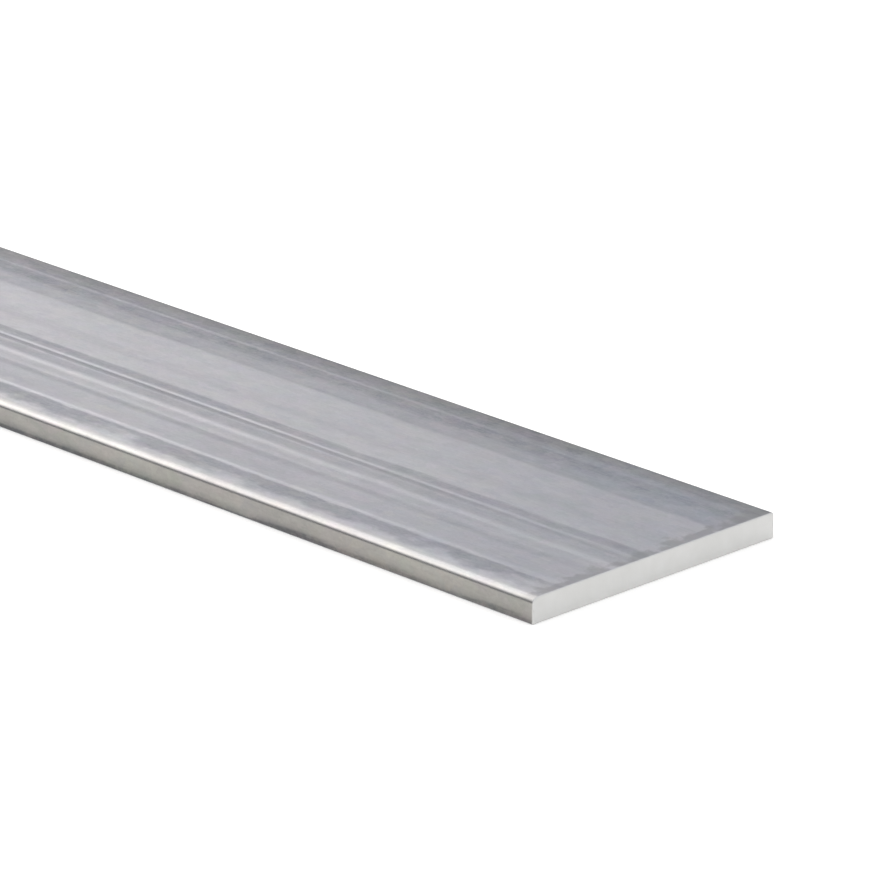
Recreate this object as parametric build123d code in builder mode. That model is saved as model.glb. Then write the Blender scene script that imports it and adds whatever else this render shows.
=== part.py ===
from build123d import *
import os

# Extruded aluminium flat bar: one piece of plain stock, sawn square to a stock length.
# Its section is a rectangle with one well rounded corner, the upper front one, and
# three that the die leaves nearly square. The sawn edges are broken with a file.
# Frame: +X along the bar, +Y across its wide face, +Z up through its thickness.
# The origin is the centre of the bottom face, halfway along the bar.

INCH = 25.4

# Driving dimensions, in millimetres
bar_length = 36 * INCH
bar_width = 1.5 * INCH
bar_thickness = INCH / 8
eased_radius = INCH / 32  # the upper front edge
back_radius = 0.4  # the upper back edge
corner_radius = 0.2  # the two lower long edges
broken_radius = 0.15  # the edges round both sawn ends

# The section's corners, as (across the bar, up), seen with the right sawn end in front.
lower_front = (-bar_width / 2, 0)
lower_back = (bar_width / 2, 0)
upper_back = (bar_width / 2, bar_thickness)
upper_front = (-bar_width / 2, bar_thickness)

# The section is drawn at the left sawn end, with its local x along +Y and its
# local y along +Z, and runs the whole length as it left the die.
left_end = Plane.YZ.offset(-bar_length / 2)

with BuildPart() as flat_bar:
    with BuildSketch(left_end):
        with BuildLine():
            FilletPolyline(
                lower_front,
                lower_back,
                upper_back,
                upper_front,
                radius=(corner_radius, corner_radius, back_radius, eased_radius),
                close=True,
            )
        make_face()
    extrude(amount=bar_length)
    sawn_ends = flat_bar.faces().filter_by(Axis.X)
    fillet(sawn_ends.edges(), radius=broken_radius)

flat_bar.part.label = "flat_bar"

os.makedirs("parts", exist_ok=True)
export_step(flat_bar.part, "parts/flat_bar.step")
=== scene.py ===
"""An extruded aluminium flat bar in mill finish, sawn square at both ends, on a plain studio floor.

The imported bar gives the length, width and thickness. This file adds what the die and the saw left on
the metal: lengthwise scores and ridges, bands of dull film and burnished metal, softly broken sawn
edges and a matt sawn face. The classes work in millimetres, and a mesh turns to metres as it is written.
Frame: +X along the bar, +Y across its wide face, +Z up. The front edge is the one at -Y.
"""

import logging
import math
from dataclasses import astuple, dataclass
from enum import Enum
from typing import Any

import bpy
import numpy as np
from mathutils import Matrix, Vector


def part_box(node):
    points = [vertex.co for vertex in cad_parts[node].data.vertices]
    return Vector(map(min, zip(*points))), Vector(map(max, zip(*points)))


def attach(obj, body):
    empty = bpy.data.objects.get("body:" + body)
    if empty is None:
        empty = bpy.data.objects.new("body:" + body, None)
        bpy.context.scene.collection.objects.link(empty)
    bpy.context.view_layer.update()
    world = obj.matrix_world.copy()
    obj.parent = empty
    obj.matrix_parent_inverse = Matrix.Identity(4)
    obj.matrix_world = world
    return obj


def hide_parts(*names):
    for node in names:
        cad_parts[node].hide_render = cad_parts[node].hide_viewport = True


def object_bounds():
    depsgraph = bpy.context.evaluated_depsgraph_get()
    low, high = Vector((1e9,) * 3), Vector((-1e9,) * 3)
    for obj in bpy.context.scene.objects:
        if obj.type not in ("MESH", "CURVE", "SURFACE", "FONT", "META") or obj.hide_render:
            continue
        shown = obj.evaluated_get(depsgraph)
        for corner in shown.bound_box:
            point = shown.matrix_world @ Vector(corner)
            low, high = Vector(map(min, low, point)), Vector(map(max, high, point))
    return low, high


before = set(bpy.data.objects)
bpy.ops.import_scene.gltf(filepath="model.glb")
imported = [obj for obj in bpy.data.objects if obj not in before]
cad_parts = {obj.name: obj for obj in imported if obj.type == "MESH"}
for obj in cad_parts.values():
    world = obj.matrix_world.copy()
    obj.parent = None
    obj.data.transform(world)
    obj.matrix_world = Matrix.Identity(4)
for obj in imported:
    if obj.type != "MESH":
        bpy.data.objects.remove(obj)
CAD_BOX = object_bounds()

MM = 0.001
NODE = "flat_bar"
Socket = bpy.types.NodeSocket
log = logging.getLogger("flat_bar")


# --- Small helpers ---


def linear(hex_colour: str) -> tuple[float, float, float, float]:
    """Turns an sRGB hex colour to linear light.

    Args:
        hex_colour: A colour such as "#B4B5B9".

    Returns:
        Red, green and blue from 0 to 1 in linear light, and an alpha of 1.
    """
    srgb = [int(hex_colour[i : i + 2], 16) / 255 for i in (1, 3, 5)]
    red, green, blue = (c / 12.92 if c <= 0.04045 else ((c + 0.055) / 1.055) ** 2.4 for c in srgb)
    return red, green, blue, 1.0


class Tree:
    """The node tree of a material or of the world, which starts empty."""

    def __init__(self, owner: bpy.types.Material | bpy.types.World) -> None:
        """Switches the nodes on and empties their tree.

        Args:
            owner: The material or the world.
        """
        owner.use_nodes = True
        self.nodes, self.links = owner.node_tree.nodes, owner.node_tree.links
        self.nodes.clear()

    def add(self, kind: str, inputs: dict | None = None, **settings: Any) -> bpy.types.Node:
        """Adds a node with its settings, values and links.

        Args:
            kind: The node's Blender type, after its ShaderNode.
            inputs: For each socket, by name or number, a value or the output socket to link from.
            settings: The node's own properties.

        Returns:
            The new node.
        """
        node = self.nodes.new("ShaderNode" + kind)
        for name, value in settings.items():
            setattr(node, name, value)
        for socket, value in (inputs or {}).items():
            if isinstance(value, Socket):
                self.links.new(value, node.inputs[socket])
            else:
                node.inputs[socket].default_value = value
        return node


def smooth_step(places: np.ndarray, start: float | np.ndarray, end: float | np.ndarray) -> np.ndarray:
    """Rises from 0 at start to 1 at end as 3t^2 - 2t^3, where t is how far on a place is, from 0 to 1."""
    share = np.clip((places - start) / (end - start), 0.0, 1.0)
    return share * share * (3 - 2 * share)


def wander(places: np.ndarray, length: float, rng: np.random.Generator, waves: int = 12) -> np.ndarray:
    """A smooth random line, as a sum of sine waves of random length and phase.

    Args:
        places: Where the line is wanted.
        length: About how far apart its bumps are, in the unit of places.
        rng: The seeded source of randomness.
        waves: How many sines are added.

    Returns:
        The line's value at each place, mostly between -1 and 1.
    """
    shortest, longest = 0.6, 2.2
    lengths = length * rng.uniform(shortest, longest, waves)
    phases = rng.uniform(0, 2 * np.pi, waves)
    sines = np.sin(2 * np.pi * places[..., None] / lengths + phases)
    return sines.sum(-1) / math.sqrt(waves)


# --- What the die left on the skin ---


class Film(Enum):
    """A strip's sheen, from -1.1 for the painted shade at the side's foot to 0.2 for burnished metal."""

    # The films and the burnish are as the die left them; the lowest level is painted shade, not a film.
    BOTTOM_SHADE = -1.1
    HEAVIEST = -0.8
    HEAVY = -0.71
    DENSE = -0.54
    DULL = -0.36
    THIN = -0.33
    HAZY = -0.13
    CLEAN = 0.0
    BRIGHT = 0.13
    BURNISHED = 0.2


@dataclass(frozen=True)
class Band:
    """A strip of one film, from the last band's end to its own.

    Attributes:
        end: Where it ends, in millimetres from the front edge.
        film: The film on it.
        border: The width over which it turns into the next band.
    """

    end: float
    film: Film
    border: float = 0.5


@dataclass(frozen=True)
class DieLine:
    """A straight line that a nick or a ridge in the die draws along the whole bar.

    Attributes:
        start: Where it starts, in millimetres from the front edge.
        rise: The width over which it leaves the level of the skin.
        fall: The width over which it comes back.
        height: How far it stands proud, or lies below if negative, in micrometres.
    """

    start: float
    rise: float
    fall: float
    height: float


# Up the front side, whose places are below 0, and across the upper face to its back edge.
UPPER_BANDS = (
    # The two lowest bands darken the front side towards its foot: painted shade of where it meets the floor.
    Band(-2.3, Film.BOTTOM_SHADE, 0.35),
    Band(-1.8, Film.THIN, 1.0),
    Band(-0.5, Film.CLEAN, 0.8),
    # Lighter metal over the eased edge and just behind it: a painted highlight added to the lamps' one.
    Band(1.6, Film.BRIGHT, 1.6),
    Band(5.6, Film.CLEAN, 0.5),
    Band(9.4, Film.HAZY, 0.8),
    Band(10.8, Film.THIN, 0.6),
    Band(12.4, Film.HAZY, 0.6),
    Band(13.5, Film.BURNISHED, 1.15),
    Band(16.45, Film.THIN, 0.2),
    # This band is a lighter strip on the score's back wall: a painted highlight of its thin bright line.
    Band(16.87, Film.HAZY, 0.2),
    Band(17.05, Film.THIN, 0.4),
    Band(18.45, Film.DENSE, 0.4),
    Band(21.6, Film.BRIGHT, 1.0),
    Band(23.6, Film.CLEAN, 1.0),
    Band(29.3, Film.BRIGHT, 0.75),
    Band(32.2, Film.DULL, 1.7),
    Band(34.5, Film.HEAVY, 0.6),
    Band(35.3, Film.DENSE, 0.5),
    Band(36.2, Film.HEAVY, 1.0),
    Band(38.1, Film.HEAVIEST, 0.6),
)

# The scalloped film along the front edge grows from the first place to the second, and ends crisply.
FRONT_CLOUD = (0.4, 4.0)
FRONT_CLOUD_END = (4.5, 5.1)

# The die's nicks on the upper face. The deepest is a score with a lip in front of it. The lamps make the
# front walls of ridges and the back walls of scores bright, and the other walls dark.
UPPER_LINES = (
    DieLine(4.9, 0.6, 3.0, 21.0),
    DieLine(9.6, 0.9, 0.9, -14.0),
    DieLine(12.3, 1.1, 2.8, 14.0),
    DieLine(15.12, 0.4, 0.42, 11.0),
    DieLine(15.84, 0.53, 0.5, -24.0),
    DieLine(21.4, 0.8, 1.0, -3.0),
    DieLine(28.9, 0.8, 2.5, -6.0),
    DieLine(34.4, 0.5, 0.6, 11.0),
)


# --- The bar ---


@dataclass(frozen=True)
class Section:
    """The bar's section: a rectangle with one well rounded corner, as a closed ring of points.

    The ring starts where the front side meets the upper front corner. It crosses the upper face to the
    back, goes down the back side, returns under the bar and climbs the front side. Both wide faces have
    the same number of points, so that a grid can join them over the sawn face.

    Attributes:
        width: Across the wide face.
        thickness: From the lower face to the upper.
        eased: The radius of the upper front edge.
        back: The radius of the upper back edge.
        corner: The radius of the two lower long edges.
        face_steps: How many steps the flat of a wide face is cut into.
        corner_steps: How many steps a corner takes.
        side_steps: How many steps the flat of a narrow side takes.
    """

    width: float
    thickness: float
    eased: float = 25.4 / 32
    back: float = 0.4
    corner: float = 0.2
    face_steps: int = 172
    corner_steps: int = 8
    side_steps: int = 9

    def wide_face(self, front: float, back: float) -> tuple[np.ndarray, np.ndarray, np.ndarray]:
        """Points over a wide face, with corners of the given radii at the front and at the back.

        A corner's points stand at equal angles a on its arc: radius * (1 - cos a) in from the side, and
        radius * (1 - sin a) below the face. The flat is cut more finely where the die lines are: each adds
        a bell curve to the density of the points.

        Args:
            front: The front corner's radius.
            back: The back corner's radius.

        Returns:
            Each point's distance from the front edge, how far it lies below the face, and the angle of its
            outward normal from the front (0) through up (a quarter turn) to the back (a half turn).
        """
        crowding, spread, samples = 1.6, 0.8, 4000
        fine = np.linspace(front, self.width - back, samples)
        bumps = [((fine - line.start - line.rise) / spread) ** 2 for line in UPPER_LINES]
        density = 1 + sum(crowding * np.exp(-bump) for bump in bumps)
        share = np.cumsum(density) - density[0]
        middle = np.interp(np.linspace(0, share[-1], self.face_steps + 1), share, fine)[1:-1]
        turn = np.linspace(0, np.pi / 2, self.corner_steps + 1)
        away = turn[::-1]
        across = [front * (1 - np.cos(turn)), middle, self.width - back * (1 - np.cos(away))]
        below = [front * (1 - np.sin(turn)), np.zeros_like(middle), back * (1 - np.sin(away))]
        angle = [turn, np.full_like(middle, np.pi / 2), np.pi - away]
        return np.concatenate(across), np.concatenate(below), np.concatenate(angle)

    def ring(self) -> tuple[np.ndarray, np.ndarray]:
        """Joins the four sides to the closed ring.

        Returns:
            The points' (Y, Z) and their outward normals, both with one row a point.
        """
        across, below, angle = self.wide_face(self.eased, self.back)
        upper = np.stack([across - self.width / 2, self.thickness - below], 1)
        over = np.stack([-np.cos(angle), np.sin(angle)], 1)
        across, below, angle = self.wide_face(self.corner, self.corner)
        lower = np.stack([across - self.width / 2, below], 1)[::-1]
        under = np.stack([-np.cos(angle), -np.sin(angle)], 1)[::-1]
        rise = np.linspace(self.corner, self.thickness - self.eased, self.side_steps + 1)[1:-1]
        front = np.stack([np.full_like(rise, -self.width / 2), rise], 1)
        fall = np.linspace(self.thickness - self.back, self.corner, self.side_steps + 1)[1:-1]
        back = np.stack([np.full_like(fall, self.width / 2), fall], 1)
        level = np.ones((self.side_steps - 1, 1))
        normals = np.concatenate([over, level * (1, 0), under, level * (-1, 0)])
        return np.concatenate([upper, back, lower, front]), normals

    def cap(self) -> np.ndarray:
        """Numbers the points of a grid over the sawn face.

        Row 0 is the upper skin and the last row the lower skin, and the outer columns are the narrow
        sides, so the grid's rim is the ring. Points inside get numbers from the ring's length up.

        Returns:
            The point numbers, one row a step down through the thickness.
        """
        count = self.face_steps + 2 * self.corner_steps + 1
        inner = self.side_steps - 1
        size = 2 * count + 2 * inner
        grid = np.empty((self.side_steps + 1, count), int)
        grid[0] = np.arange(count)
        grid[-1] = np.arange(2 * count + inner, count + inner, -1) - 1
        grid[1:-1, 1:-1] = size + np.arange(inner * (count - 2)).reshape(inner, count - 2)
        grid[1:-1, -1] = count + np.arange(inner)
        grid[1:-1, 0] = size - 1 - np.arange(inner)
        return grid


@dataclass(frozen=True)
class FlatBar:
    """The bar as one closed skin: the drawn profile carried along its length, and a grid on each end.

    Attributes:
        length: Along the bar.
        section: Its cross-section.
        roll: How far the upper face falls away at the front edge, over which width, and by which power.
        worn: The named die lines' share of their height at the sawn ends, and how far in they are whole.
        rubbed: The film's strength at the sawn ends, where hands hold the bar, and as far in as `worn` goes.
        strayed: How far a strip's border strays to either side, well in from the ends and at them, and
            about how long its bends are.
        handled: The front film's share that handling left at the ends, and how far in it is whole.
        cooled: From where to where the cutting coolant tinted the upper face most, and how far in from the
            ends it got.
        broken_edge: The sawn edges' radius where they were broken least, and how much more it is in places.
        first_step: The spacing of the cross-sections at a sawn edge.
        growth: How much wider each next spacing is.
        long_step: The widest spacing.
        seed: Starts the random lines.
    """

    length: float
    section: Section
    roll: tuple[float, float, float] = (0.11, 3.6, 4.0)
    worn: tuple[float, float] = (0.3, 85.0)
    rubbed: tuple[float, float] = (0.82, 1.05)
    strayed: tuple[float, float, float] = (0.07, 0.3, 26.0)
    handled: tuple[float, float] = (0.2, 4.0)
    cooled: tuple[float, float, float] = (29.5, 36.0, 45.0)
    broken_edge: tuple[float, float] = (0.13, 0.05)
    first_step: float = 0.012
    growth: float = 1.26
    long_step: float = 4.6
    seed: int = 7

    def stations(self) -> np.ndarray:
        """Places of the cross-sections along the bar, from the left end to the right.

        The spacing from each end is first_step * growth^n until it reaches long_step. The whole is then
        stretched a little, so that both halves meet in the middle.

        Returns:
            The places, from the middle of the bar.
        """
        half, most_steps = self.length / 2, 400
        steps = np.minimum(self.first_step * self.growth ** np.arange(most_steps), self.long_step)
        depth = np.concatenate([[0.0], np.cumsum(steps)])
        depth = depth[: np.searchsorted(depth, half) + 1]
        depth *= half / depth[-1]
        return np.concatenate([depth - half, (half - depth[:-1])[::-1]])

    def sheen(self, place: np.ndarray, total: float, rng: np.random.Generator) -> np.ndarray:
        """The sheen round the section, from -1.1 for painted shade to 0.2 for burnished metal.

        Each border adds the step from one film to the next, eased over its width. The upper face has its
        own bands, whose lowest, at the foot of the front side, are painted shade. The rest gets bands of
        random width and film.

        Args:
            place: Each point's place round the section from the front edge.
            total: The whole way round.
            rng: The seeded source of randomness.

        Returns:
            One value for each place.
        """
        bands = list(UPPER_BANDS)
        widths, borders = (0.7, 4.2), (0.3, 1.4)
        films = (Film.BRIGHT, Film.CLEAN, Film.CLEAN, Film.THIN, Film.DULL)
        end = bands[-1].end
        while end < total - self.section.thickness:
            end += rng.uniform(*widths)
            bands.append(Band(end, films[rng.integers(len(films))], rng.uniform(*borders)))
        value = np.full_like(place, bands[0].film.value)
        for band, after in zip(bands, bands[1:]):
            change = after.film.value - band.film.value
            value += change * smooth_step(place, band.end - band.border / 2, band.end + band.border / 2)
        return value

    def relief(
        self, place: np.ndarray, total: float, along: np.ndarray, rng: np.random.Generator
    ) -> np.ndarray:
        """Height of the skin over its drawn shape, as scores and ridges that run the whole length.

        Across the skin each line rises by an eased step over its rise, and falls by another over its fall.
        That is multiplied by a strength that wanders slowly along the bar, and the sum over the lines is a
        product of two matrices. Handling has worn the named lines towards the ends.

        Args:
            place: Each ring point's place round the section.
            total: The whole way round.
            along: The stations' places.
            rng: The seeded source of randomness.

        Returns:
            Heights in millimetres, one row a station.
        """
        # A fine line is about a micrometre high for each millimetre that it is wide.
        fine_lines, widths, steepness = 150, (0.15, 0.7), 0.9
        fine_swing, fine_bend = 0.3, 70.0
        named_swing, named_bend = 0.14, 30.0
        start = rng.uniform(0, total, fine_lines)
        rise, fall = rng.uniform(*widths, (2, fine_lines))
        height = rng.normal(0, steepness, fine_lines) * (rise + fall)
        strength = np.stack([1 + fine_swing * wander(along, fine_bend, rng) for _ in start])
        depth = self.length / 2 - np.abs(along)
        left, reach = self.worn
        kept = left + (1 - left) * smooth_step(depth, 0.0, reach)
        named = np.stack([kept * (1 + named_swing * wander(along, named_bend, rng)) for _ in UPPER_LINES])
        named_lines = np.transpose([astuple(line) for line in UPPER_LINES])
        start, rise, fall, height = np.hstack([[start, rise, fall, height], named_lines])[..., None]
        away = (place[None] - start) % total
        shape = smooth_step(away, 0.0, rise) - smooth_step(away, rise, rise + fall)
        return np.concatenate([strength, named]).T @ (shape * height * MM)

    def sawn_edge(
        self, place: np.ndarray, along: np.ndarray, rng: np.random.Generator
    ) -> tuple[np.ndarray, np.ndarray]:
        """Works out the sawn edges, which a stroke of a file broke to about a quarter circle.

        At a distance d from the end, for d under the radius e, the skin drops by e - sqrt(e^2 - (e - d)^2).
        The radius is a little larger where the saw tore some metal out.

        Args:
            place: Each ring point's place round the section.
            along: The stations' places.
            rng: The seeded source of randomness.

        Returns:
            Drops in millimetres, and how bare the metal is from 0 to 1, both with one row a station.
        """
        least, torn = self.broken_edge
        tear_length, tear_waves, bare_reach = 1.6, 24, 1.3
        depth = self.length / 2 - np.abs(along)[:, None]
        drop = np.zeros((len(along), len(place)))
        bare = np.zeros_like(drop)
        for side in (-1, 1):
            radius = (least + torn * wander(place, tear_length, rng, tear_waves).clip(0, 1))[None]
            here = np.sign(along)[:, None] == side
            short = np.where(here, (radius - depth).clip(0), 0)
            drop += radius - np.sqrt(radius**2 - np.minimum(short, radius) ** 2)
            bare += here * (1 - smooth_step(depth, 0.0, bare_reach * radius))
        return drop, bare

    def build(self) -> bpy.types.Object:
        """Makes the skin and both sawn faces as one closed mesh.

        Returns:
            The bar's object, with its maps and its attributes.
        """
        rng = np.random.default_rng(self.seed)
        ring, normals = self.section.ring()
        closed = np.concatenate([ring, ring[:1]])
        walk = np.concatenate([[0.0], np.cumsum(np.linalg.norm(np.diff(closed, axis=0), axis=1))])
        total = walk[-1]
        # Over the upper face, a point's place is its distance from the front edge. The lower front corner
        # and the front side come last in the ring, and their places count back from that edge.
        place = walk[:-1] - self.section.eased * (np.pi / 2 - 1)
        first_front = len(ring) - self.section.side_steps - self.section.corner_steps
        place[first_front:] -= total
        along = self.stations()
        lift = self.relief(place, total, along, rng)
        # The upper face falls away towards the eased edge by drop * (1 - place / reach)^power.
        drop, reach, power = self.roll
        lift -= drop * (1 - place / reach).clip(0, 1) ** power * normals[:, 1].clip(0, 1) ** 2
        lift -= lift.max()
        drop, bare = self.sawn_edge(place, along, rng)
        lift -= drop

        skin = np.empty((len(along), len(ring), 3))
        skin[..., 0] = along[:, None]
        skin[..., 1:] = ring[None] + normals[None] * lift[..., None]

        inner, end_faces = self.sawn_faces(skin)
        here = np.arange(skin.shape[0] * len(ring)).reshape(skin.shape[:2])
        after = np.roll(here, -1, axis=1)
        wall = np.stack([here[:-1], here[1:], after[1:], after[:-1]], -1).reshape(-1, 4)
        faces = np.concatenate([wall, end_faces])
        points = np.concatenate([skin.reshape(-1, 3), inner])

        mesh = bpy.data.meshes.new("aluminium_bar")
        mesh.from_pydata((points * MM).tolist(), [], faces.tolist())
        marks = self.marks(place, normals, total, along, rng) | {"bare": bare}
        for name, values in marks.items():
            values = np.broadcast_to(values, (len(along), len(ring))).reshape(-1)
            values = np.concatenate([values, np.zeros(len(inner))])
            mesh.attributes.new(name, "FLOAT", "POINT").data.foreach_set("value", values.astype(np.float32))
        mesh.polygons.foreach_set("use_smooth", np.ones(len(faces), bool))
        sawn = np.zeros(len(faces), np.int32)
        sawn[len(wall) :] = 1
        mesh.polygons.foreach_set("material_index", sawn)
        self.unroll(mesh, walk / total, points, len(wall))
        mesh.update()
        bar = bpy.data.objects.new("aluminium_bar", mesh)
        bpy.context.scene.collection.objects.link(bar)
        return bar

    def sawn_faces(self, skin: np.ndarray) -> tuple[np.ndarray, np.ndarray]:
        """Closes both ends of the skin with a grid of faces.

        A grid's inner points lie between the upper and the lower skin at equal steps.

        Args:
            skin: The skin's points, one row a station.

        Returns:
            The inner points of both grids, and the faces of both, each as four point numbers.
        """
        grid = self.section.cap()
        share = np.linspace(0, 1, grid.shape[0])[1:-1, None, None]
        points, faces = [], []
        count, first_inner = skin.shape[1], skin.shape[0] * skin.shape[1]
        inner_count = (grid.shape[0] - 2) * (grid.shape[1] - 2)
        for number, station in enumerate((0, skin.shape[0] - 1)):
            end_ring = skin[station]
            inner = (1 - share) * end_ring[grid[0, 1:-1]] + share * end_ring[grid[-1, 1:-1]]
            points.append(inner.reshape(-1, 3))
            offset = np.where(grid < count, station * count, first_inner + number * inner_count - count)
            index = grid + offset
            quads = np.stack([index[:-1, :-1], index[1:, :-1], index[1:, 1:], index[:-1, 1:]], -1)
            quads = quads.reshape(-1, 4)
            # The left face looks the other way, so its corners are taken in the other order.
            faces.append(quads if number else quads[:, ::-1])
        return np.concatenate(points), np.concatenate(faces)

    def marks(
        self, place: np.ndarray, facing: np.ndarray, total: float, along: np.ndarray, rng: np.random.Generator
    ) -> dict[str, np.ndarray]:
        """Works out what the finish reads at each point of the skin.

        Each mark is a product or a sum of eased steps across the skin and in from the nearer sawn end.

        Args:
            place: Each ring point's place round the section.
            facing: Each ring point's outward normal.
            total: The whole way round.
            along: The stations' places.
            rng: The seeded source of randomness.

        Returns:
            The sheen; from 0 to 1, how much front film there may be; and how strong the warm tint, which
            is painted shade on the narrow sides, and the blue tint are. Each has one row a station, or one
            row for all of them.
        """
        depth = self.length / 2 - np.abs(along)
        inland = smooth_step(depth, 0.0, self.worn[1])
        amount, end_amount, bend = self.strayed
        amount = end_amount + (amount - end_amount) * inland
        strip_place = place + (amount * wander(along, bend, rng))[:, None]
        strength = np.interp(inland, (0, 1), self.rubbed)[:, None]

        left, reach = self.handled
        whole = left + (1 - left) * smooth_step(depth, 0.0, reach)
        cloud = smooth_step(place, *FRONT_CLOUD) * (1 - smooth_step(place, *FRONT_CLOUD_END))

        # Coolant ran over all of the upper face near the cut, and most of it along one strip. It left no
        # tint right at the cut.
        border, elsewhere, dry, wettest = 1.0, 0.4, 1.0, 4.0
        low, high, far = self.cooled
        blue = smooth_step(place, low - border, low + border)
        blue *= 1 - smooth_step(place, high - border, high + border)
        blue = np.maximum(blue, elsewhere * facing[:, 1].clip(0, 1) ** 4)
        wet = smooth_step(depth, dry, wettest) * (1 - smooth_step(depth, far / 3, far))

        # The warm tint covers the narrow sides, where its darkening is painted shade, and fades out over the
        # upper face from both long edges.
        front_share, front_fade, back_share, back_fade = 0.65, (0.3, 2.0), 0.5, (34.5, 37.5)
        edges = front_share * (1 - smooth_step(np.abs(place), *front_fade))
        edges += back_share * smooth_step(place, *back_fade)
        not_below = facing[:, 1] > -0.5
        warm_tint_and_shade = np.maximum(np.abs(facing[:, 0]) ** 4, np.where(not_below, edges, 0.0))
        return {
            "sheen": strength * self.sheen(strip_place, total, rng),
            "cloud": strength * whole[:, None] * cloud,
            "warm_tint_and_shade": warm_tint_and_shade,
            "blue": wet[:, None] * blue,
        }

    def unroll(self, mesh: bpy.types.Mesh, turn: np.ndarray, points: np.ndarray, walls: int) -> None:
        """Lays the skin out flat on a square map, with the length across it and the girth up it.

        The die lines are fine across and long along, so the girth gets most of the map's height, and the
        two sawn faces lie in strips above it. A second map of the same layout gives the grain's direction.

        Args:
            mesh: The bar's mesh.
            turn: Each ring point's share of the way round the section, and 1 for the first point's return.
            points: Every point, in millimetres.
            walls: How many faces the skin has, before those of the sawn faces.
        """
        skin_share, strip, gap = 0.86, 0.05, 0.01
        corners = np.empty(len(mesh.loops), np.int32)
        mesh.loops.foreach_get("vertex_index", corners)
        corners = corners.reshape(-1, 4)
        place = points[corners]
        u = place[..., 0] / self.length + 0.5
        v = np.empty_like(u)
        count = len(turn) - 1
        row = corners[:walls] % count
        wraps = (row.max(1) - row.min(1)) > count / 2
        row = np.where(wraps[:, None] & (row == 0), count, row)
        v[:walls] = turn[row] * skin_share
        ends = place[walls:]
        right = ends[..., 0] > 0
        u[walls:] = ends[..., 1] / self.section.width + 0.5
        start = np.where(right, skin_share + gap, skin_share + 2 * gap + strip)
        v[walls:] = start + strip * ends[..., 2] / self.section.thickness
        flat = np.stack([u, v], -1).reshape(-1).astype(np.float32)
        for name in ("lengthwise", "OFBake"):
            mesh.uv_layers.new(name=name).uv.foreach_set("vector", flat)


# --- Finishes ---


@dataclass(frozen=True)
class Noise:
    """A noise on the bar's own coordinates.

    Attributes:
        size: The size of its blotches across the bar, in millimetres.
        stretch: How many times longer they are along the bar.
        detail: How many finer layers it has.
        amount: How far it moves what it drives, which is the sheen unless its owner says otherwise.
    """

    size: float
    stretch: float
    detail: float
    amount: float

    def texture(self, tree: Tree, place: Socket, output: str = "Fac") -> Socket:
        """Adds the noise to a tree.

        Args:
            tree: The material's node tree.
            place: The socket with the Object coordinates.
            output: "Fac" for one value, or "Color" for three that don't depend on each other.

        Returns:
            The socket with its value or values, which average a half.
        """
        scale = (1 / self.stretch, 1.0, 1.0)
        mapped = tree.add("Mapping", {"Vector": place, "Scale": scale}).outputs[0]
        inputs = {"Vector": mapped, "Scale": 1 / (self.size * MM), "Detail": self.detail, "Roughness": 0.55}
        return tree.add("TexNoise", inputs).outputs[output]


@dataclass(frozen=True)
class Patches:
    """A patchwork of crisp-edged spots, each of one random tone, on the bar's own coordinates.

    Attributes:
        size: The size of a patch across the bar, in millimetres.
        stretch: How many times longer it is along the bar.
        ragged: How far its edges are bent, in millimetres, by a noise of a third of its size.
        amount: How far the patches move the sheen.
        tint: How far they move each of the oxide's three colours.
    """

    size: float
    stretch: float
    ragged: float
    amount: float
    tint: float

    def texture(self, tree: Tree, place: Socket) -> Socket:
        """Adds the patchwork to a tree.

        Args:
            tree: The material's node tree.
            place: The socket with the Object coordinates.

        Returns:
            The socket with a random colour for each patch, whose parts average a half.
        """
        inputs = {"Vector": place, "Scale": 3 / (self.size * MM), "Detail": 2.0}
        bent = tree.add("TexNoise", inputs).outputs["Color"]
        inputs = {0: bent, 1: (self.ragged * MM,) * 3, 2: place}
        bent = tree.add("VectorMath", inputs, operation="MULTIPLY_ADD").outputs[0]
        scale = (1 / self.stretch, 1.0, 1.0)
        mapped = tree.add("Mapping", {"Vector": bent, "Scale": scale}).outputs[0]
        return tree.add("TexVoronoi", {"Vector": mapped, "Scale": 1 / (self.size * MM)}).outputs["Color"]


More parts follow.
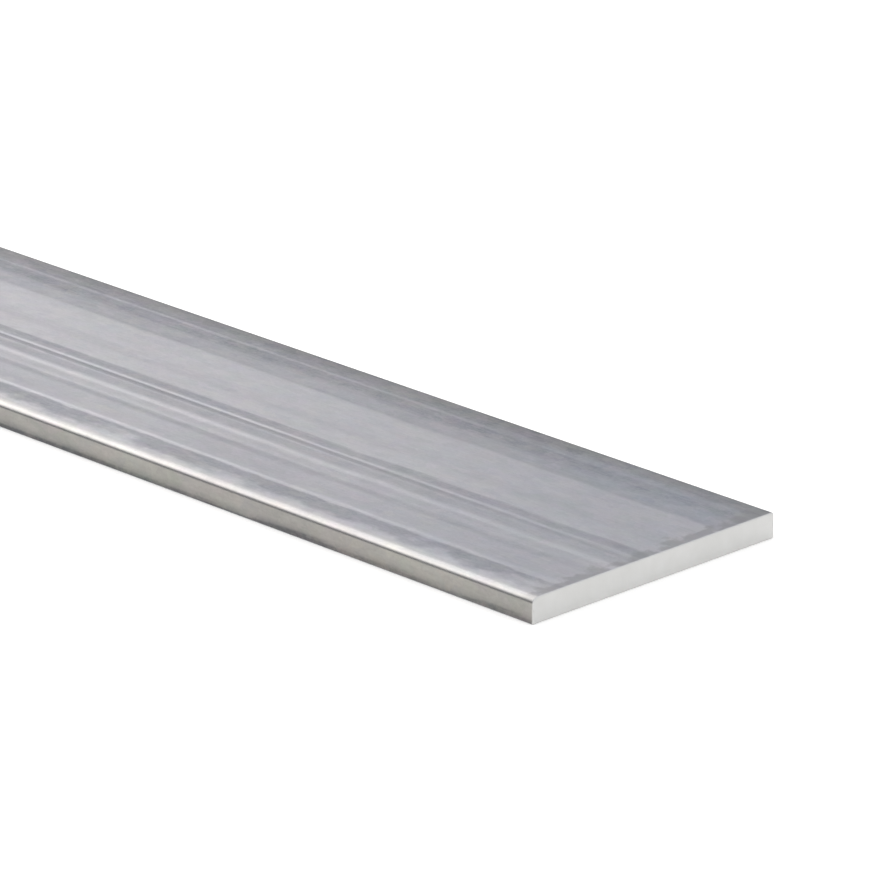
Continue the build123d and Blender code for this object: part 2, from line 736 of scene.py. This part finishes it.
@dataclass(frozen=True)
class MillFinish:
    """Extruded 6063 aluminium straight from the press, with no brushing or anodising.

    The die's bearing burnishes it lengthwise, so its sheen changes across in strips and hardly at all
    along. Oxide and residue of the die leave a thin bluish film that is duller and darker. A warm tint
    darkens the narrow sides, which is painted shade. The real draw lines and the real grain are finer
    than a tenth of a millimetre, and are drawn coarser here so that they show.

    Attributes:
        film: The colour under a heavy film.
        clean: The colour of clean mill-finish metal.
        burnished: The colour where the bearing polished it.
        span: How far below and above 0 the sheen has the first and the last of these colours.
        warm_tint_and_shade: What the warm tint lets through; on the narrow sides it is painted shade.
        blue: The tint that coolant left near the ends.
        rough_film: Roughness under a heavy film.
        rough_burnished: Roughness of burnished metal.
        spread: How much further the draw lines spread a reflection across the bar, as the anisotropy.
        lines: The fine draw lines.
        drift: The slow change of the film from place to place.
        mottle: The blotches that handling and oxide leave.
        streaks: Short scuffs along the bar.
        grain: The finest speckle that still shows.
        spots: The patchwork that the film lifts off in.
        hue: How the oxide's thickness tints it, in each of the three colours.
        clouds: The scalloped edge of the film along the front edge.
        cloud_levels: The front film's soft profile where it starts and where it lies whole, with the
            clouds at their mean.
        cloud_sheen: How far the front film moves the sheen.
        cut: The ragged residue beside the cut, and how much it covers.
        cut_reach: How far in from the cut the residue gets, at least and at most.
        cut_border: The width over which it fades out.
        cut_sheen: The sheen that it gives the skin.
        nicks: Small marks that were burnished by handling.
        edge: The colour of the sawn edges, where a file laid the metal bare.
        rough_edge: Their roughness.
    """

    film: str = "#72747C"
    clean: str = "#B2B2B7"
    burnished: str = "#E2E2E5"
    span: float = 1.25
    warm_tint_and_shade: str = "#E0DDD1"
    blue: str = "#F7FBFF"
    rough_film: float = 0.34
    rough_burnished: float = 0.25
    spread: float = 0.45
    lines: Noise = Noise(0.45, 300.0, 2.0, 0.15)
    drift: Noise = Noise(9.0, 2.5, 1.0, 0.3)
    mottle: Noise = Noise(1.4, 2.0, 3.0, 0.36)
    streaks: Noise = Noise(0.4, 8.0, 2.0, 0.27)
    grain: Noise = Noise(0.3, 1.5, 2.0, 0.38)
    spots: Patches = Patches(1.1, 1.7, 0.9, 0.11, 0.028)
    hue: Noise = Noise(4.5, 1.2, 3.0, 0.068)
    clouds: Noise = Noise(2.9, 1.7, 3.0, 2.5)
    cloud_levels: tuple[float, float] = (0.12, 0.92)
    cloud_sheen: float = -0.66
    cut: Noise = Noise(1.8, 1.0, 2.5, 0.6)
    cut_reach: tuple[float, float] = (0.6, 4.0)
    cut_border: float = 1.8
    cut_sheen: float = -0.75
    nicks: Noise = Noise(0.5, 3.0, 2.0, 0.25)
    edge: str = "#D3D3D1"
    rough_edge: float = 0.5

    def front_film(self, tree: Tree, place: Socket, here: Socket) -> Socket:
        """Adds the front film, which lies whole where its soft profile and the clouds pass a level together.

        Args:
            tree: The material's node tree.
            place: The socket with the Object coordinates.
            here: The socket with the film's soft profile, from 0 to 1.

        Returns:
            The socket with how far the film moves the sheen.
        """
        # Where there is less of the profile than this, the film is thinner too.
        faint = 0.2
        inputs = {0: self.clouds.texture(tree, place), 1: self.clouds.amount, 2: here}
        level = tree.add("Math", inputs, operation="MULTIPLY_ADD").outputs[0]
        start, whole = (self.clouds.amount / 2 + rise for rise in self.cloud_levels)
        inputs = {"Value": here, "From Max": faint, "To Max": self.cloud_sheen}
        deepest = tree.add("MapRange", inputs).outputs[0]
        inputs = {"Value": level, "From Min": start, "From Max": whole, "To Max": deepest}
        return tree.add("MapRange", inputs, interpolation_type="SMOOTHSTEP").outputs[0]

    def residue(self, tree: Tree, place: Socket, side_here: Socket, half_length: float) -> Socket:
        """Adds the residue beside the cut, which lies on the wide faces and ends along a ragged line.

        Args:
            tree: The material's node tree.
            place: The socket with the Object coordinates.
            side_here: The socket that is 1 on the narrow sides, where there is no residue.
            half_length: Half the bar's length in metres, where the saw cut is.

        Returns:
            The socket with how much the residue covers, from 0 to 1.
        """
        # Nearly all of a noise lies between these two.
        low, high = 0.3, 0.7
        least, most = (half_length - reach * MM for reach in self.cut_reach)
        along = tree.add("SeparateXYZ", {0: place}).outputs["X"]
        away = tree.add("Math", {0: along}, operation="ABSOLUTE").outputs[0]
        ragged = self.cut.texture(tree, place)
        inputs = {"Value": ragged, "From Min": low, "From Max": high, "To Min": least, "To Max": most}
        line = tree.add("MapRange", inputs).outputs[0]
        beyond = tree.add("Math", {0: away, 1: line}, operation="SUBTRACT").outputs[0]
        wide = tree.add("Math", {0: 1.0, 1: side_here}, operation="SUBTRACT").outputs[0]
        cover = tree.add("Math", {0: wide, 1: self.cut.amount}, operation="MULTIPLY").outputs[0]
        inputs = {"Value": beyond, "From Max": self.cut_border * MM, "To Max": cover}
        return tree.add("MapRange", inputs, interpolation_type="SMOOTHSTEP").outputs[0]

    def material(self, half_length: float) -> bpy.types.Material:
        """Builds the skin's material.

        One number, the sheen, drives colour and roughness together. It starts from the strips that the
        mesh holds. The patterns, the front film, the residue by the saw cut and the nicks are added to it.

        Args:
            half_length: Half the bar's length in metres, where the saw cut is.

        Returns:
            The material.
        """
        material = bpy.data.materials.new("mill_finish_aluminium")
        tree = Tree(material)
        place = tree.add("TexCoord").outputs["Object"]
        strips, film_here, side_here, wet_here, bare_here = (
            tree.add("Attribute", attribute_name=name).outputs["Fac"]
            for name in ("sheen", "cloud", "warm_tint_and_shade", "blue", "bare")
        )

        # A noise averages a half, so half of the amounts is taken off the sum.
        patterns = (self.lines, self.drift, self.mottle, self.streaks, self.grain, self.spots)
        textures = [pattern.texture(tree, place) for pattern in patterns]
        lines, *_, grain, spots = textures
        textures[-1] = tree.add("SeparateColor", {0: spots}).outputs["Red"]
        total = -sum(pattern.amount for pattern in patterns) / 2
        for texture, pattern in zip(textures, patterns):
            inputs = {0: texture, 1: pattern.amount, 2: total}
            total = tree.add("Math", inputs, operation="MULTIPLY_ADD").outputs[0]
        # Film is blotchier than clean metal, and the front film is blotchier still.
        dull, clear, on_film, on_front_film = -0.7, -0.2, 1.65, 0.4
        inputs = {"Value": strips, "From Min": dull, "From Max": clear, "To Min": on_film, "To Max": 1.0}
        blotchy = tree.add("MapRange", inputs).outputs[0]
        inputs = {0: film_here, 1: on_front_film, 2: blotchy}
        blotchy = tree.add("Math", inputs, operation="MULTIPLY_ADD").outputs[0]
        sheen = tree.add("Math", {0: total, 1: blotchy, 2: strips}, operation="MULTIPLY_ADD").outputs[0]

        front = self.front_film(tree, place, film_here)
        sheen = tree.add("Math", {0: sheen, 1: front}, operation="ADD").outputs[0]
        dulled = self.residue(tree, place, side_here, half_length)
        sheen = tree.add("Mix", {0: dulled, 2: sheen, 3: self.cut_sheen}).outputs[0]
        # A nick is one of the few peaks of its noise.
        peak_foot, peak = 0.72, 0.8
        inputs = {"Value": self.nicks.texture(tree, place), "From Min": peak_foot, "From Max": peak}
        nicked = tree.add("MapRange", inputs).outputs[0]
        inputs = {0: nicked, 1: self.nicks.amount, 2: sheen}
        sheen = tree.add("Math", inputs, operation="MULTIPLY_ADD").outputs[0]

        inputs = {"Value": sheen, "From Min": -self.span, "From Max": self.span}
        share = tree.add("MapRange", inputs).outputs[0]
        metal = tree.add("ValToRGB", {"Fac": share})
        ramp = metal.color_ramp
        ramp.elements[0].color = linear(self.film)
        ramp.elements[1].color = linear(self.burnished)
        ramp.elements.new(0.5).color = linear(self.clean)
        # The oxide's tint: each colour swings about 1 by itself, and further where there is film.
        oxide = (-(self.spots.tint + self.hue.amount) / 2,) * 3
        hues = self.hue.texture(tree, place, "Color")
        for texture, swing in ((spots, self.spots.tint), (hues, self.hue.amount)):
            inputs = {0: texture, 1: (swing,) * 3, 2: oxide}
            oxide = tree.add("VectorMath", inputs, operation="MULTIPLY_ADD").outputs[0]
        inputs = {0: oxide, 1: blotchy, 2: (1.0,) * 3}
        oxide = tree.add("VectorMath", inputs, operation="MULTIPLY_ADD").outputs[0]
        inputs = {0: wet_here, 6: oxide, 7: linear(self.blue)}
        oxide = tree.add("Mix", inputs, data_type="RGBA", blend_type="MULTIPLY").outputs[2]
        # The warm tint lies over the sides, where its darkening is painted shade, and a little of it over the
        # residue by the cut.
        on_residue = 0.4
        inputs = {0: dulled, 1: on_residue, 2: side_here}
        warm_and_shade_share = tree.add("Math", inputs, operation="MULTIPLY_ADD").outputs[0]
        colour = metal.outputs["Color"]
        for strength, tint in ((1.0, oxide), (warm_and_shade_share, linear(self.warm_tint_and_shade))):
            inputs = {0: strength, 6: colour, 7: tint}
            colour = tree.add("Mix", inputs, data_type="RGBA", blend_type="MULTIPLY").outputs[2]
        inputs = {"Value": share, "To Min": self.rough_film, "To Max": self.rough_burnished}
        rough = tree.add("MapRange", inputs).outputs[0]
        # On the sawn edges the metal is as bare and matt as the cut.
        colour = tree.add("Mix", {0: bare_here, 6: colour, 7: linear(self.edge)}, data_type="RGBA").outputs[2]
        rough = tree.add("Mix", {0: bare_here, 2: rough, 3: self.rough_edge}).outputs[0]

        # The draw lines and the grain are some micrometres deep.
        deep, lines_felt, grain_felt = 0.004, 0.35, 0.3
        bump = tree.add("Bump", {"Strength": lines_felt, "Distance": deep * MM, "Height": lines}).outputs[0]
        inputs = {"Strength": grain_felt, "Distance": deep * MM, "Height": grain, "Normal": bump}
        bump = tree.add("Bump", inputs).outputs[0]
        # The reflection spreads across the bar: the map's U runs along it, turned a quarter.
        grain_way = tree.add("Tangent", direction_type="UV_MAP", uv_map="lengthwise")
        inputs = {
            "Base Color": colour,
            "Metallic": 1.0,
            "Roughness": rough,
            "Anisotropic": self.spread,
            "Anisotropic Rotation": 0.25,
            "Tangent": grain_way.outputs[0],
            "Normal": bump,
        }
        surface = tree.add("BsdfPrincipled", inputs)
        tree.add("OutputMaterial", {"Surface": surface.outputs[0]})
        return material


@dataclass(frozen=True)
class SawnFinish:
    """Aluminium cut by a fine circular saw: bare, pale and matt, with no film on it.

    Attributes:
        colour: The fresh metal.
        shade: The metal in the saw's faint marks.
        roughness: Of the cut as a whole.
        marks: The saw's marks, which run up and down the thin face.
        upright: How many times longer they are up the face than across it.
        cloud: Faint uneven patches.
    """

    colour: str = "#D7D7D6"
    shade: str = "#CFCFCD"
    roughness: float = 0.52
    marks: Noise = Noise(0.35, 1.0, 2.0, 0.15)
    upright: float = 12.5
    cloud: Noise = Noise(3.0, 1.0, 3.0, 1.0)

    def material(self) -> bpy.types.Material:
        """Builds the sawn faces' material.

        Returns:
            The material.
        """
        material = bpy.data.materials.new("sawn_aluminium")
        tree = Tree(material)
        place = tree.add("TexCoord").outputs["Object"]
        inputs = {"Vector": place, "Scale": (1.0, 1.0, 1 / self.upright)}
        marks = self.marks.texture(tree, tree.add("Mapping", inputs).outputs[0])
        cloud = self.cloud.texture(tree, place)
        inputs = {0: marks, 1: self.marks.amount, 2: cloud}
        both = tree.add("Math", inputs, operation="MULTIPLY_ADD").outputs[0]
        # The sum averages 0.58, so most of the cut is near the shade, and the patches' peaks are paler.
        darkest, palest, deep, felt = 0.45, 1.05, 0.01, 0.3
        share = tree.add("MapRange", {"Value": both, "From Min": darkest, "From Max": palest})
        colours = tree.add("ValToRGB", {"Fac": share.outputs[0]})
        colours.color_ramp.elements[0].color = linear(self.shade)
        colours.color_ramp.elements[1].color = linear(self.colour)
        bump = tree.add("Bump", {"Strength": felt, "Distance": deep * MM, "Height": marks})
        inputs = {
            "Base Color": colours.outputs["Color"],
            "Metallic": 1.0,
            "Roughness": self.roughness,
            "Normal": bump.outputs[0],
        }
        surface = tree.add("BsdfPrincipled", inputs)
        tree.add("OutputMaterial", {"Surface": surface.outputs[0]})
        return material


# --- Studio ---


@dataclass(frozen=True)
class Softbox:
    """A soft rectangular lamp that is aimed at the near sawn corner.

    Attributes:
        name: Its name.
        azimuth: The way to it from that corner, in degrees from +X towards +Y.
        elevation: Its height over the horizon, in degrees.
        distance: How far away it is, in metres.
        slide: How far it is then slid to its right and upwards in its own plane, in metres.
        size: Its width and height, in metres.
        brightness: How bright its face is beside a white card.
        colour: The colour of its light.
    """

    name: str
    azimuth: float
    elevation: float
    distance: float
    slide: tuple[float, float]
    size: tuple[float, float]
    brightness: float
    colour: str

    def place(self, target: Vector) -> None:
        """Hangs the lamp and turns it to the target. Its power is brightness times pi times its area.

        Args:
            target: What it lights, in metres.
        """
        lamp = bpy.data.lights.new(self.name, "AREA")
        lamp.shape, lamp.size, lamp.size_y = "RECTANGLE", *self.size
        lamp.energy = self.brightness * math.pi * self.size[0] * self.size[1]
        lamp.color = linear(self.colour)[:3]
        turn, lift = math.radians(self.azimuth), math.radians(self.elevation)
        way = Vector((math.cos(turn) * math.cos(lift), math.sin(turn) * math.cos(lift), math.sin(lift)))
        light = bpy.data.objects.new(self.name, lamp)
        light.rotation_mode = "QUATERNION"
        light.rotation_quaternion = way.to_track_quat("Z", "Y")
        slide = light.rotation_quaternion @ Vector((*self.slide, 0.0))
        light.location = target + way * self.distance + slide
        light.visible_camera = False
        bpy.context.scene.collection.objects.link(light)


SOFTBOXES = (
    Softbox("key", 186.0, 44.0, 0.9, (-0.175, -0.01), (1.27, 0.62), 1.12, "#FFFBF6"),
    Softbox("core", 189.0, 44.0, 0.89, (0.0, -0.08), (0.5, 0.2), 0.8, "#FFF8EC"),
)


@dataclass(frozen=True)
class Studio:
    """A plain pale floor, a soft sky and softboxes, and a long lens on the near sawn corner.

    Attributes:
        floor_half: Half the floor's side, in metres.
        floor_colour: The floor's paint.
        floor_lift: How much the floor glows beside white where it is looked at.
        overhead: The sky's level overhead beside white.
        open_side: Its level at the horizon, where the sawn end faces.
        dark_side: Its level at the horizon behind the bar.
        sky_colour: The sky's tint.
        eye: The camera from the near lower sawn corner, in millimetres.
        heading: The way it looks, in degrees from +Y towards -X.
        pitch: How far it looks down, in degrees.
        lens: Its focal length on a 36 mm sensor.
    """

    floor_half: float = 40.0
    floor_colour: str = "#DFDEDB"
    floor_lift: float = 0.38
    overhead: float = 1.15
    open_side: float = 0.9
    dark_side: float = 0.25
    sky_colour: str = "#FAFBFF"
    eye: tuple[float, float, float] = (469.2, -471.1, 262.4)
    heading: float = 45.79
    pitch: float = 19.89
    lens: float = 273.97

    def set_up(self) -> None:
        """Makes the floor, the sky, the lamps and the camera."""
        low, high = CAD_BOX
        corner = Vector((high.x, low.y, low.z))
        self.lay_floor(low.z)
        self.hang_sky()
        for box in SOFTBOXES:
            box.place(corner)
        self.aim_camera(corner)
        settings = bpy.context.scene.view_settings
        settings.view_transform = "Standard"

    def lay_floor(self, height: float) -> None:
        """Lays a flat square under the bar and paints it matt.

        Args:
            height: Its height, in metres.
        """
        half = self.floor_half
        corners = [(-half, -half, height), (half, -half, height), (half, half, height), (-half, half, height)]
        mesh = bpy.data.meshes.new("studio_floor")
        mesh.from_pydata(corners, [], [(0, 1, 2, 3)])
        floor = bpy.data.objects.new("studio_floor", mesh)
        bpy.context.scene.collection.objects.link(floor)
        paint = bpy.data.materials.new("matt_floor_paint")
        tree = Tree(paint)
        matt = tree.add("BsdfDiffuse", {"Color": linear(self.floor_colour)}).outputs[0]
        # Seen directly, mirrored or through glass, the paint is lifted to white. Its shadows stay.
        rays = tree.add("LightPath").outputs
        seen = rays["Is Camera Ray"]
        for kind in ("Is Glossy Ray", "Is Transmission Ray"):
            seen = tree.add("Math", {0: seen, 1: rays[kind]}, operation="MAXIMUM").outputs[0]
        lift = tree.add("Math", {0: seen, 1: self.floor_lift}, operation="MULTIPLY").outputs[0]
        glow = tree.add("Emission", {"Strength": lift}).outputs[0]
        both = tree.add("AddShader", {0: matt, 1: glow}).outputs[0]
        tree.add("OutputMaterial", {"Surface": both})
        mesh.materials.append(paint)

    def hang_sky(self) -> None:
        """Surrounds the studio with a soft light that grows overhead and towards the open side."""
        world = bpy.data.worlds.new("soft_sky")
        bpy.context.scene.world = world
        tree = Tree(world)
        way = tree.add("TexCoord").outputs["Generated"]
        apart = tree.add("SeparateXYZ", {0: way}).outputs
        # From low to high, as parts of a direction that is 1 long, the light grows from the level so far.
        level = self.dark_side
        for axis, low, high, top in (("X", -0.6, 0.6, self.open_side), ("Z", 0.1, 0.8, self.overhead)):
            inputs = {"Value": apart[axis], "From Min": low, "From Max": high, "To Min": level, "To Max": top}
            level = tree.add("MapRange", inputs, interpolation_type="SMOOTHSTEP").outputs[0]
        light = tree.add("Background", {"Color": linear(self.sky_colour), "Strength": level})
        tree.add("OutputWorld", {"Surface": light.outputs[0]})

    def aim_camera(self, corner: Vector) -> None:
        """Stands the camera off the near sawn corner and turns it by its heading and pitch.

        Args:
            corner: That corner, in metres.
        """
        lens = bpy.data.cameras.new("camera")
        lens.lens, lens.sensor_width = self.lens, 36.0
        lens.clip_start, lens.clip_end = 0.01, 200.0
        camera = bpy.data.objects.new("camera", lens)
        camera.location = corner + Vector(self.eye) * MM
        camera.rotation_euler = (math.radians(90 - self.pitch), 0.0, math.radians(self.heading))
        bpy.context.scene.collection.objects.link(camera)
        bpy.context.scene.camera = camera


# --- Build ---


def main() -> None:
    """Builds the studio and the bar, dresses it and writes how large it came out."""
    logging.basicConfig(level=logging.INFO, format="%(name)s: %(message)s")
    Studio().set_up()

    low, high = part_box(NODE)
    length, width, thickness = ((high - low) / MM).to_tuple()
    bar = FlatBar(length, Section(width, thickness)).build()
    bar.data.materials.append(MillFinish().material(high.x))
    bar.data.materials.append(SawnFinish().material())
    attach(bar, "root")
    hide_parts(NODE)
    log.info("%s: %d points, %d faces", bar.name, len(bar.data.vertices), len(bar.data.polygons))


if __name__ == "__main__":
    main()
